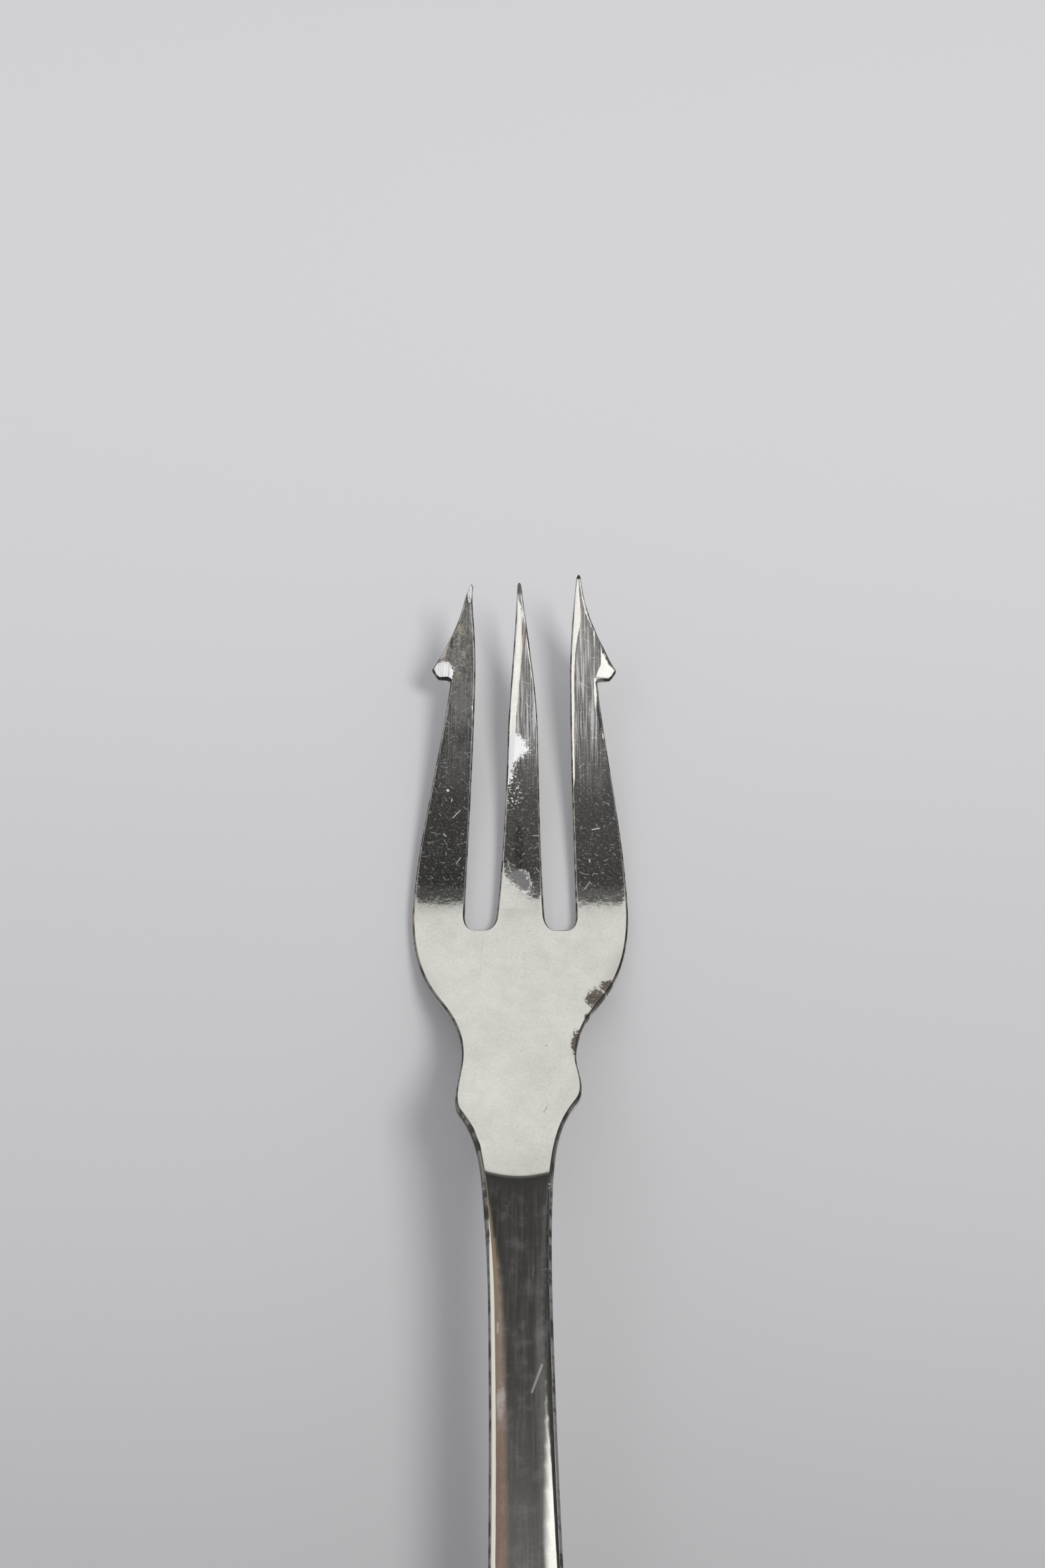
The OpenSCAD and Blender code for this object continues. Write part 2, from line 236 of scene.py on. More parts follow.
def resample(loop):
    """The same closed loop with its points at the wanted spacing."""
    closed = np.vstack([loop, loop[:1]])
    step = np.linalg.norm(np.diff(closed, axis=0), axis=1)
    pace = np.concatenate([[0], np.cumsum(step / spacing(closed[:-1]))])
    at = np.linspace(0, pace[-1], int(round(pace[-1])) + 1)[:-1]
    return np.stack([np.interp(at, pace, closed[:, 0]), np.interp(at, pace, closed[:, 1])], 1)


outline = resample(raw)
print("outline points:", len(outline))

# %% [markdown]
# ## Side profile
# Seen from the side the fork rests on the heel of its head and on the flat of its handle's end. Its
# top face is a curve through a few keys: raised tips, the heel, the slope of the neck, the arch and
# the long fall of the handle. The underside follows it at the metal's thickness.

# %% Side profile along the fork
FULL_CROWN_S = THIN_S + 0.17 * (SWELL_S - THIN_S)


def top_keys(tip_lift, arch_lift):
    """Height of the top face along the fork, in millimetres."""
    tip, arch = tip_lift + TIP_T, arch_lift + STEM_T
    rise = (arch - HEAD_T) * (1 / (ARCH_BACK - (HEEL_TURN + ARCH_TURN) / 2))
    return [
        (0, tip, (tip - HEAD_T) * (-2 / TINE_L)),
        (FLOOR_S, HEAD_T, 0),
        (FLOOR_S + HEEL_TURN, rise * (HEEL_TURN / 2) + HEAD_T, rise),
        (ARCH_S - ARCH_TURN, arch - rise * (ARCH_TURN / 2), rise),
        (ARCH_S, arch, 0),
        ((ARCH_S + SWELL_S) / 2, (arch - END_T) * 0.68 + END_T, arch * (-1.4 / (SWELL_S - ARCH_S))),
        (REST_S, END_T, 0),
        (FORK_L, END_T, 0),
    ]


thinning = (HEAD_T - BARB_T) / (FLOOR_S - BARB_BACK)
thick_keys = [
    (0, TIP_T, (BARB_T - TIP_T) / BARB_BACK),
    (BARB_BACK, BARB_T, thinning),
    (FLOOR_S, HEAD_T, thinning),
    (WAIST_S, NECK_T, (NECK_T - HEAD_T) / (WAIST_S - FLOOR_S)),
    (ARCH_S, STEM_T, 0),
    (THIN_S, STEM_T, 0),
    (REST_S, END_T, 0),
    (FORK_L, END_T, 0),
]


def crown_keys(tine, handle):
    """Height of the crown on the top face, along the tines and along the handle."""
    return [
        (0, tine, tine * (-1 / (0.8 * FLOOR_S))),
        (0.8 * FLOOR_S, 0, 0),
        (ARCH_S - 5, 0, 0),
        (ARCH_S, handle * 0.3, handle * 0.09),
        (ARCH_S + 8, handle * 0.8, handle * 0.03),
        (FULL_CROWN_S, handle, 0),
        (FORK_L, handle * 0.8, 0),
    ]


# %% [markdown]
# ## Rounded edges
# A pierced and polished blank has no sharp edge: its upper edge is lightly rounded and its lower
# edge is filed well round. The outline is moved inwards in small steps, and seven of the loops it
# passes become the rows of a quarter circle. Moving along the loop's own normal, with a little
# smoothing at each step, keeps the rows from crossing in the barbs and at the tips.

# %% Radius of the edges
def edge_keys(head, handle, full_s):
    """Radius along the fork: that of the head up to the waist, that of the handle from full_s."""
    return [(0, head, 0), (WAIST_S, head, 0), (full_s, handle, 0), (FORK_L, handle, 0)]


def edge_round(s):
    """Radius of the upper edge: less where the fork is thin or comes to a point."""
    crown = curve(crown_keys(TINE_CROWN, HANDLE_CROWN), s)
    limit = 0.35 * (curve(thick_keys, s) - crown)
    point = 0.07 + 0.09 * np.clip((s - LEFT_SHORT) / 2.5, 0, 1)
    wanted = curve(edge_keys(HEAD_EDGE_R, HANDLE_EDGE_R, THIN_S), s)
    return np.minimum(np.minimum(wanted, limit), np.where(s < 4, point, 9))


# %% Move the outline inwards
ROW_TURNS = [0, 15, 30, 45, 60, 75, 90]


def inward(loop):
    """Unit vectors square to a closed loop, pointing into the metal."""
    along = np.roll(loop, -1, 0) - np.roll(loop, 1, 0)
    square = np.stack([-along[:, 1], along[:, 0]], 1)
    area = np.sum(loop[:, 0] * np.roll(loop[:, 1], -1) - np.roll(loop[:, 0], -1) * loop[:, 1])
    square = square * (1 if area > 0 else -1)
    square = square + np.roll(square, 1, 0) + np.roll(square, -1, 0)
    return square / np.linalg.norm(square, axis=1)[:, None]


def edge_rows(loop, steps=30):
    """The outline and the rows inside it, with the radius of the rounding at each point."""
    radius = edge_round(loop[:, 1])
    wanted = [int(round(steps * (1 - math.cos(math.radians(a))))) for a in ROW_TURNS]
    rows, now = [loop], loop.copy()
    for step in range(1, steps + 1):
        now = now + inward(now) * (radius / steps)[:, None]
        near = (np.roll(now, 1, 0) + np.roll(now, -1, 0)) / 2 - now
        along = np.roll(now, -1, 0) - np.roll(now, 1, 0)
        along = along / np.maximum(np.linalg.norm(along, axis=1), 1e-9)[:, None]
        slide = along * np.sum(near * along, axis=1)[:, None]
        now = now + 0.35 * slide + 0.12 * (near - slide)
        if step in wanted:
            rows.append(now.copy())
    return rows, radius


rows, radius = edge_rows(outline)
print("edge rows:", len(rows), "radius", radius.min().round(3), "to", radius.max().round(3))

# %% [markdown]
# ## Flat faces
# The face inside the last row is filled with triangles over an even grid of points, so that the
# metal can bend and crown smoothly. A Delaunay triangulation takes the row as its border and the
# grid as loose points. The underside uses the same triangles, turned over.

# %% Fill the face
def inside(points_in, loop):
    """Which points lie inside a closed loop, by counting crossings to the right."""
    ax, ay = loop[:, 0], loop[:, 1]
    bx, by = np.roll(ax, -1), np.roll(ay, -1)
    hit = np.zeros(len(points_in), bool)
    for low in range(0, len(points_in), 2000):
        p = points_in[low:low + 2000]
        over = (ay[None, :] > p[:, 1:2]) != (by[None, :] > p[:, 1:2])
        with np.errstate(divide="ignore", invalid="ignore"):
            cross = ax + (p[:, 1:2] - ay) * (bx - ax) / (by - ay)
        hit[low:low + 2000] = np.sum(over & (p[:, 0:1] < cross), axis=1) % 2 == 1
    return hit


def grid():
    """Grid points over the whole blank, closer together over the head than over the handle."""
    found = []
    s = 0.4
    while s < FORK_L:
        gap = 0.2 + 0.15 * min(max((s - COARSE_S) / 20, 0), 1)
        xs = np.arange(-8, 8, gap)
        found.append(points(xs, np.full(len(xs), s)))
        s += gap
    return np.concatenate(found)


def fill(loop):
    """Points and triangles of the face inside a loop; the loop's own points come first."""
    tree = KDTree(len(loop))
    for i, (x, s) in enumerate(loop):
        tree.insert((x, s, 0), i)
    tree.balance()
    loose = grid()
    loose = loose[inside(loose, loop)]
    far = [tree.find((x, s, 0))[2] > (0.12 if s < COARSE_S else 0.2) for x, s in loose]
    loose = loose[np.array(far)]
    every = np.vstack([loop, loose])
    n = len(loop)
    found = delaunay_2d_cdt([Vector(p) for p in every.tolist()], [], [list(range(n))], 1, 1e-6)
    coords, _, faces, origin = found[0], found[1], found[2], found[3]
    back = [o[0] if o else -1 for o in origin]
    if -1 in back or len(coords) != len(every):
        print("fill: the border crossed itself,", len(coords) - len(every), "points differ")
    return every, [[back[v] for v in f] for f in faces if min(back[v] for v in f) >= 0]


face_points, face_triangles = fill(rows[-1])
print("face points:", len(face_points), "triangles:", len(face_triangles))


# %% [markdown]
# ## Blank
# The blank holds, at each point, what the bending needs: which face the point is on, how deep
# inside the outline it lies, its place across the metal, and the worn bevels of the barbs that the
# real fork has. They are stored as attributes, for the Geometry Nodes tree and for the shader.

# %% Share of the crown
def parts_at(s):
    """Left and right edges of whatever metal lies at each station, one column for each part."""
    edges = [outer_tine(s, -1), middle_tine(s), outer_tine(s, 1), shank(s)]
    return np.stack([e[0] for e in edges], 1), np.stack([e[1] for e in edges], 1)


def across(p):
    """Place across the metal, from -1 at the left edge to 1 at the right, and the part's number."""
    x, s = p[:, 0], p[:, 1]
    low, high = parts_at(s)
    middle, half = (low + high) / 2, np.maximum((high - low) / 2, 1e-6)
    place = (x[:, None] - middle) / half
    part = np.where(s >= FLOOR_S, 3, np.argmin(np.abs(place[:, :3]), axis=1))
    return np.take_along_axis(place, part[:, None], 1)[:, 0], part


def depth_inside(p, loop):
    """Distance from each point to the nearest side of a closed loop."""
    tree = KDTree(len(loop))
    for i, (x, s) in enumerate(loop):
        tree.insert((x, s, 0), i)
    tree.balance()
    nearest = np.array([tree.find((x, s, 0))[1] for x, s in p])
    depth = np.full(len(p), 9.0)
    for a, b in ((nearest - 1, nearest), (nearest, (nearest + 1) % len(loop))):
        side = loop[b] - loop[a]
        t = np.sum((p - loop[a]) * side, 1) / np.sum(side * side, 1)
        away = p - loop[a] - np.clip(t, 0, 1)[:, None] * side
        depth = np.minimum(depth, np.linalg.norm(away, axis=1))
    return depth


def relief(p):
    """Worn bevels of the barbs on the top face, in millimetres; negative is lower."""
    x, s = p[:, 0], p[:, 1]
    past_notch = np.maximum(np.abs(x) - NOTCH, 0)
    fade = np.clip(1 - (s - BARB_BACK - BARB_UNDER) / 4, 0, 1)
    return np.where(s < FLOOR_S - 10, -0.3 * past_notch * fade, 0)


# %% Build the blank
def blank_mesh():
    """Both faces and their rounded edges, still flat, with the attributes the bending reads."""
    n = len(outline)
    loops = rows[:-1]
    deep = depth_inside(face_points[n:], outline)
    top, xyz, faces = [], [], []
    values = {"top": [], "depth": [], "place": [], "relief": []}

    def add(p, on_top, depth):
        start = len(xyz)
        xyz.extend([(x / 1000, (TIP_Y - s) / 1000, 0) for x, s in p])
        values["top"].extend([on_top] * len(p))
        values["depth"].extend(depth)
        values["place"].extend(np.clip(across(p)[0], -1, 1))
        values["relief"].extend(relief(p) if on_top else np.zeros(len(p)))
        return start

    for on_top in (1, 0):
        shares = [1 - math.cos(math.radians(a)) for a in ROW_TURNS]
        starts = [add(p, on_top, radius * share) for p, share in zip(loops, shares)]
        starts.append(add(face_points, on_top, np.concatenate([radius, deep])))
        for a, b in zip(starts[:-1], starts[1:]):
            for i in range(n):
                j = (i + 1) % n
                quad = [a + i, a + j, b + j, b + i]
                faces.append(quad if on_top else quad[::-1])
        for f in face_triangles:
            f = [starts[-1] + v for v in f]
            faces.append(f if on_top else f[::-1])
        top.append(starts[0])
    for i in range(n):
        j = (i + 1) % n
        faces.append([top[1] + i, top[1] + j, top[0] + j, top[0] + i])
    mesh = bpy.data.meshes.new("fork_blank")
    mesh.from_pydata(xyz, [], faces)
    for name, numbers in values.items():
        layer = mesh.attributes.new(name, "FLOAT", "POINT")
        layer.data.foreach_set("value", np.array(numbers, np.float32))
    mesh.update()
    return mesh


blank = blank_mesh()
print("blank:", len(blank.vertices), "points", len(blank.polygons), "faces")

# %% [markdown]
# ## Numbers on links
# Geometry nodes and shader nodes both work by wires between boxes. The class Number wraps the end
# of a wire, so that an ordinary expression such as `1 - mask * 0.5` adds the Math nodes by itself.
# Every other kind of node comes from Graph.add, which takes its settings and its socket values.

# %% Graph and Number
class Number:
    def __init__(self, graph, socket):
        self.graph, self.socket = graph, socket

    def math(self, operation, *others):
        values = dict(enumerate([self, *others]))
        node = self.graph.add("ShaderNodeMath", {"operation": operation}, values)
        return Number(self.graph, node.outputs[0])

    def __add__(self, other):
        return self.math("ADD", other)

    def __sub__(self, other):
        return self.math("SUBTRACT", other)

    def __mul__(self, other):
        return self.math("MULTIPLY", other)

    def __rsub__(self, other):
        return self.math("MULTIPLY", -1).math("ADD", other)

    def __truediv__(self, other):
        return self.math("DIVIDE", other)

    __radd__ = __add__
    __rmul__ = __mul__

    def lower(self, other):
        return self.math("MINIMUM", other)

    def higher(self, other):
        return self.math("MAXIMUM", other)

    def size(self):
        return self.math("ABSOLUTE")

    def root(self):
        return self.math("SQRT")

    def clamp(self):
        return self.lower(1).higher(0)

    def step(self, low, high):
        """Rises smoothly from 0 to 1 as the number goes from low to high."""
        values = {"Value": self, "From Min": low, "From Max": high}
        settings = {"interpolation_type": "SMOOTHSTEP"}
        return Number(self.graph, self.graph.add("ShaderNodeMapRange", settings, values).outputs[0])


class Graph:
    def __init__(self, tree):
        self.tree = tree

    def add(self, kind, settings=None, values=None):
        """A node of any kind: its settings are set first, then its sockets are set or linked."""
        node = self.tree.nodes.new(kind)
        for name, value in (settings or {}).items():
            setattr(node, name, value)
        for key, value in (values or {}).items():
            value = value.socket if isinstance(value, Number) else value
            if isinstance(value, bpy.types.NodeSocket):
                self.tree.links.new(value, node.inputs[key])
            else:
                node.inputs[key].default_value = value
        return node

    def number(self, kind, output=0, settings=None, values=None):
        return Number(self, self.add(kind, settings, values).outputs[output])

    def blend(self, factor, a, b):
        """A colour between a and b."""
        settings = {"data_type": "RGBA", "clamp_factor": True}
        return self.add("ShaderNodeMix", settings, {0: factor, 6: a, 7: b}).outputs[2]


def through(keys, s):
    """The same smooth curve through keys as before, as nodes: one short sum for each stretch."""
    total = keys[0][1]
    for (a, va, ga), (b, vb, gb) in zip(keys[:-1], keys[1:]):
        h = b - a
        t = ((s - a) * (1 / h)).clamp()
        rise = vb - va
        c1 = ga * h
        c2 = rise * 3 - (ga * 2 + gb) * h
        c3 = (ga + gb) * h - rise * 2
        total = ((t * c3 + c2) * t + c1) * t + total
    return total


# %% [markdown]
# ## Bending
# The tree reads how far back each point lies and lifts it to its face there. Both faces fall away
# at the outline as a quarter circle: at depth d inside the outline, an edge of radius r is
# r (1 - sqrt(1 - (1 - d / r)^2)) below its face. Tip lift and arch lift are inputs, as they are
# the two heights that a press sets, and so are the crowns and a slight unevenness of the polish.

# %% A tree with its inputs
def tree_with_inputs(name, sizes):
    """A Geometry Nodes tree for a blank, some sizes and a metal, and its inputs' identifiers."""
    tree = bpy.data.node_groups.new(name, "GeometryNodeTree")
    tree.interface.new_socket("Geometry", in_out="OUTPUT", socket_type="NodeSocketGeometry")
    tree.interface.new_socket("Blank", in_out="INPUT", socket_type="NodeSocketGeometry")
    kinds = {size: "NodeSocketFloat" for size in sizes} | {"Metal": "NodeSocketMaterial"}
    ids = {}
    for label, kind in kinds.items():
        ids[label] = tree.interface.new_socket(label, in_out="INPUT", socket_type=kind).identifier
    return tree, ids


# %% Bend and thicken the blank with Geometry Nodes
def bending_tree():
    tree, ids = tree_with_inputs("bend_fork_blank", (
        "Tip lift", "Arch lift", "Tine crown", "Handle crown", "Unevenness"))
    g = Graph(tree)
    given = g.add("NodeGroupInput")
    height = {name: Number(g, given.outputs[name]) for name in ids if name != "Metal"}

    def stored(name):
        return g.number("GeometryNodeInputNamedAttribute", 0, {"data_type": "FLOAT"}, {0: name})

    def rounding(radius):
        """How far a rounded edge lies below its face."""
        t = (1 - stored("depth") / radius).clamp()
        return radius * (1 - (1 - t * t).root())

    place = g.add("GeometryNodeInputPosition").outputs[0]
    axes = g.add("ShaderNodeSeparateXYZ", None, {0: place})
    s = TIP_Y - Number(g, axes.outputs[1]) * 1000
    top = through(top_keys(height["Tip lift"], height["Arch lift"]), s)
    thick = through(thick_keys, s)
    crown = through(crown_keys(height["Tine crown"], height["Handle crown"]), s)
    room = thick - crown
    point = 0.07 + ((s - LEFT_SHORT) * (1 / 2.5)).clamp() * 0.09 + (s - 4).clamp() * 9
    upper = through(edge_keys(HEAD_EDGE_R, HANDLE_EDGE_R, THIN_S), s).lower(room * 0.35).lower(point)
    barb = (s - BARB_BACK) * (1 / BARB_UNDER_L)
    lower = through(edge_keys(HEAD_UNDER_R, HANDLE_UNDER_R, ARCH_S), s)
    lower = lower + (BARB_UNDER_R - lower) * (1 - barb * barb).higher(0)
    lower = lower.lower(room * 0.94 - upper)
    under = (top - thick).higher(0) * (1 - (s - REST_S).step(-0.01, 0.01))
    wave = g.number("ShaderNodeTexNoise", 0, None, {"Vector": place, "Scale": 260.0, "Detail": 1.0})
    wave = (wave - 0.5) * height["Unevenness"]
    across = stored("place")
    high = top - crown * across * across - rounding(upper) + stored("relief") + wave
    low = under + rounding(lower)
    z = (low + (high - low) * stored("top")) * 0.001
    bent = g.add("ShaderNodeCombineXYZ", None, {0: axes.outputs[0], 1: axes.outputs[1], 2: z})
    moved = g.add("GeometryNodeSetPosition", None, {
        "Geometry": given.outputs["Blank"], "Position": bent.outputs[0]})
    smooth = g.add("GeometryNodeSetShadeSmooth", None, {"Geometry": moved.outputs[0]})
    real = g.add("GeometryNodeRealizeInstances", None, {0: smooth.outputs[0]})
    painted = g.add("GeometryNodeSetMaterial", None, {
        "Geometry": real.outputs[0], "Material": given.outputs["Metal"]})
    g.add("NodeGroupOutput", None, {0: painted.outputs[0]})
    return tree, ids


bending, bending_ids = bending_tree()
print("bending nodes:", len(bending.nodes))

# %% [markdown]
# ## Worn silver
# Polished silver plate is a mirror, so its colour is nearly white and its roughness is low. Where
# the plate is scratched, frosted, tarnished or dirty it scatters light instead. The material mixes
# these two: a mirror, and a dull surface whose colour says what dulls it. Some of the dull white is
# painted highlight, and some of the mirror's darkness is painted shade. All patterns read Object
# coordinates in millimetres, so they stay on the metal in every view.

# %% Places on the fork
def sampled(edge, stations):
    """Keys of an edge for the node version of the curve: its value and slope at some stations."""
    at = np.array(stations, float)
    slope = (edge(at + 0.01) - edge(at - 0.01)) / 0.02
    return [(float(a), float(v), float(g)) for a, v, g in zip(at, edge(at), slope)]


TINE_STATIONS = (0.6, 2, 4, 6, 8, 11, 15, 20)
mid_left_keys = sampled(lambda s: middle_tine(s)[0], (1.2, 3, 6, 9, 13, 18))
right_in_keys = sampled(lambda s: outer_tine(s, 1)[0], TINE_STATIONS)
# Widths of the bright bevels filed along the tines' left edges, as (station, width, slope)
mid_bevel_keys = [
    (1.6, 0.0, 0.2), (2.6, 0.45, 0.3), (3.6, 0.82, 0.1), (4.8, 0.82, -0.08), (6.4, 0.68, -0.04),
    (8.5, 0.62, 0), (11.2, 0.56, 0), (14.5, 0.42, -0.1), (16.4, 0.0, -0.15),
]
right_bevel_keys = [
    (0.5, 0.2, 0.2), (1.5, 0.48, 0.2), (2.8, 0.66, 0), (4.2, 0.54, -0.15), (6.0, 0.36, -0.03),
    (9.0, 0.3, 0), (15.5, 0.24, 0), (17.5, -0.1, 0),
]
# Width of the painted white highlight on the middle tine
frost_keys = [
    (11.8, 0.0, 0.5), (12.5, 0.8, 1.5), (12.95, 1.4, 0.4), (13.4, 1.5, -0.2), (13.8, 1.15, -1.2),
    (14.2, 0.65, -0.5), (15.1, 0.42, -0.2), (15.8, 0.25, -0.3), (16.4, -0.1, -0.5),
]
# Where the facet of the right barb starts, as (station, x, slope)
barb_facet_keys = [
    (5.0, 5.64, 0), (6.7, 5.6, -0.05), (7.37, 5.37, -0.3), (8.16, 5.17, -0.1), (9.6, 5.13, 0.08),
    (11.8, 5.5, 0.25),
]


# %% [markdown]
# ## Patterns
# Metal is a graph that knows its place on the fork: x across it and the station s, both in
# millimetres. Its methods draw what wear is made of: noise, short scratches, spots and strokes.

# %% A graph with patterns
class Metal(Graph):
    def __init__(self, name):
        self.material = bpy.data.materials.new(name)
        self.material.use_nodes = True
        super().__init__(self.material.node_tree)
        self.tree.nodes.clear()
        where = self.add("ShaderNodeTexCoord").outputs["Object"]
        axes = self.add("ShaderNodeSeparateXYZ", None, {0: where})
        self.x = Number(self, axes.outputs[0]) * 1000
        self.s = TIP_Y - Number(self, axes.outputs[1]) * 1000

    def noise(self, along, over, shift, detail, rough):
        """Smooth noise, along and over being its repeats in a millimetre."""
        at = self.add("ShaderNodeCombineXYZ", None, {0: self.x * over + shift, 1: self.s * along, 2: shift})
        return self.number("ShaderNodeTexNoise", 0, None, {
            "Vector": at.outputs[0], "Scale": 1.0, "Detail": detail, "Roughness": rough})

    def marks(self, cell, long, wide, share, shift):
        """Short curved scratches, at most one in each Voronoi cell, each turned at random."""
        u, v = self.x * (1 / cell) + shift, self.s * (1 / cell) + shift
        at = self.add("ShaderNodeCombineXYZ", None, {0: u, 1: v}).outputs[0]
        cells = self.add("ShaderNodeTexVoronoi", {"voronoi_dimensions": "2D"}, {"Vector": at, "Scale": 1.0})
        draws = self.add("ShaderNodeSeparateColor", None, {0: cells.outputs["Color"]})
        turn, chance, size = (Number(self, draws.outputs[i]) for i in range(3))
        centre = self.add("ShaderNodeSeparateXYZ", None, {0: cells.outputs["Position"]})
        a, b = u - Number(self, centre.outputs[0]), v - Number(self, centre.outputs[1])
        cosine, sine = (turn * math.pi).math("COSINE"), (turn * math.pi).math("SINE")
        along, off = (a * cosine + b * sine) * cell, (b * cosine - a * sine) * cell
        off = (off - along * along * (turn - 0.5) * 1.5).size()
        reach = (size * 0.8 + 0.2) * long
        mark = (1 - off.step(wide * 0.2, wide)) * (1 - (along.size() - reach).step(-0.05, 0.02))
        return mark * chance.step(1 - share, 1 - share + 0.02) * (size * size * 0.8 + 0.2)

    def blob(self, x0, s0, wide, long):
        """1 at the centre of an ellipse, 0 at its edge and negative outside it."""
        a, b = (self.x - x0) * (1 / wide), (self.s - s0) * (1 / long)
        return 1 - a * a - b * b

    def patch(self, x0, s0, wide, long, soft=0.35):
        """1 inside an ellipse, fading to 0 at its edge."""
        a, b = (self.x - x0) * (1 / wide), (self.s - s0) * (1 / long)
        return 1 - (a * a + b * b).step(1 - soft, 1 + soft)

    def stroke(self, x0, s0, x1, s1, wide):
        """1 along a straight scratch."""
        dx, ds = x1 - x0, s1 - s0
        t = (((self.x - x0) * dx + (self.s - s0) * ds) * (1 / (dx * dx + ds * ds))).clamp()
        a, b = self.x - x0 - t * dx, self.s - s0 - t * ds
        return 1 - (a * a + b * b).root().step(wide * 0.3, wide)


def beyond(distance, soft=0.03):
    """The distance where it is positive, 0 where it is negative, with a soft turn."""
    return (distance + (distance * distance + soft * soft).root()) * 0.5


# %% [markdown]
# ## Regions and noises
# A region is a mask: 1 on its part of the fork and 0 elsewhere, with a soft border. The noises are
# shared by everything that follows, so that haze, tarnish and dents agree with one another. Two
# sums of them make borders ragged: rag those of the frost, grain those of the tarnish.

# %% Regions of the fork
metal = Metal("worn_silver_plate")
x, s = metal.x, metal.s
depth, top = (metal.number("ShaderNodeAttribute", 2, {"attribute_name": name}) for name in ("depth", "top"))
left_tine = 1 - x.step(-2.9, -2.4)
right_tine = x.step(2.4, 2.9)
middle = (1 - left_tine) * (1 - right_tine)
upper = 1 - s.step(10, 18)
tines = 1 - s.step(25, 27)
plain = s.step(25, 27) * (1 - s.step(50, 52))
handle = s.step(51, 53)

# %% Noises along and across the metal
streaks = metal.noise(0.22, 5.5, 3.1, 3.0, 0.65)
hairs = metal.noise(0.3, 17, 8.3, 1.0, 0.5)
mottle = metal.noise(1.0, 1.2, 7.7, 4.0, 0.62)
clouds = metal.noise(0.22, 0.3, 5.5, 3.0, 0.6)
specks = metal.noise(5, 6, 1.9, 2.0, 0.5)
fine = metal.noise(12, 14, 4.2, 2.0, 0.6)
rag = (mottle - 0.5) * 1.6 + (specks - 0.5) * 1.8 + (fine - 0.5) * 2.2
grain = (mottle - 0.5) * 2.2 + (specks - 0.5) * 2.4 + (fine - 0.5) * 1.2
print("nodes for regions and noises:", len(metal.tree.nodes))

# %% [markdown]
# ## Scratches, frost and painted highlights
# Fine scratches of four sizes cover the tines. Long brushed lines run along their upper parts,
# but not over the right barb's facet. Frost is where the plate is abraded white: the larger
# scratches and dents, one by one. A ragged spot on the middle tine, the left barb and the left tip
# are painted highlights: matt white where the mirror shows a bright reflection.

# %% Random scratches, brushing and haze
scratch_kinds = [
    # size of a cell, greatest length, width, share of the cells, place in the pattern
    (0.4, 0.16, 0.04, 0.6, 0.3), (0.7, 0.3, 0.045, 0.5, 11.7), (1.3, 0.5, 0.04, 0.3, 22.9),
    (0.23, 0.06, 0.035, 0.6, 34.3),
]
scratches = metal.marks(*scratch_kinds[0])
for kind in scratch_kinds[1:]:
    scratches = scratches.higher(metal.marks(*kind))
scratches = scratches * (0.04 + tines * 0.96)
on_facet = (x - through(barb_facet_keys, s)).step(0, 0.1) * s.step(5.9, 6.2)
brushed = (streaks * 0.45 + hairs * 0.55).step(0.46, 0.62) * upper * (1 - left_tine * 0.75)
brushed = brushed * (1 - on_facet * 0.9)
haze = (specks.step(0.45, 0.7) * 0.03 + fine.step(0.45, 0.7) * 0.03) * tines
haze = haze + (streaks.step(0.45, 0.7) * 0.05 + mottle.step(0.5, 0.7) * 0.05) * handle

# %% Painted highlights and frosted places
# Painted highlights: matt white where the mirror shows a bright reflection, on the middle tine, the left barb
# and the left tip
white_spot = through(frost_keys, s) + through(mid_left_keys, s) - x + rag * 0.95
white_spot = white_spot.step(-0.04, 0.06) * middle * s.step(11.4, 11.8) * (1 - s.step(16.5, 17))
left_barb = (metal.blob(-5.7, 7.42, 0.88, 0.95) + rag * 0.5).step(0, 0.25)
left_barb = left_barb * (0.75 + hairs.step(0.3, 0.6) * 0.25)
left_tip = metal.patch(-3.78, 1.45, 0.16, 0.75, 0.3) * fine.step(0.3, 0.6)
dots = specks.step(0.56, 0.6) * metal.patch(-0.85, 16.6, 0.9, 1.7, 0.6) * middle
dots = dots * rag.step(-0.1, 0.2) * 0.75
frost = white_spot.higher(left_barb).higher(left_tip).higher(dots)

# %% Larger scratches and dents
large_marks = [
    # from (x, s), to (x, s), width, strength
    (1.44, 63.0, 0.875, 64.7, 0.1, 0.3), (1.87, 51.35, 2.12, 51.35, 0.06, 0.7),
    (-1.1, 60.4, -1.1, 61.0, 0.09, 0.3), (0.95, 56.8, 0.9, 57.5, 0.07, 0.1),
    (1.42, 57.0, 1.8, 56.9, 0.06, 0.12), (-3.46, 10.1, -3.4, 10.4, 0.13, 0.9),
    (-5.09, 16.7, -5.07, 16.75, 0.12, 0.8), (-4.8, 17.4, -4.8, 17.6, 0.05, 0.6),
    (-4.7, 18.9, -4.2, 18.3, 0.05, 0.5), (-5.3, 20.2, -5.15, 20.4, 0.06, 0.5),
    (-4.4, 22.6, -4.1, 22.1, 0.05, 0.35), (0.85, 20.3, 1.3, 20.3, 0.05, 0.4),
    (4.9, 19.8, 5.4, 19.7, 0.06, 0.6), (4.7, 22.2, 4.7, 22.4, 0.08, 0.4),
    (4.35, 24.6, 4.7, 24.0, 0.05, 0.35), (4.2, 8.2, 4.3, 8.9, 0.06, 0.5),
    (5.72, 12.2, 5.74, 12.5, 0.09, 0.8),
]
for *line, strength in large_marks:
    frost = frost.higher(metal.stroke(*line) * strength)
print("larger marks:", len(large_marks), "nodes so far:", len(metal.tree.nodes))
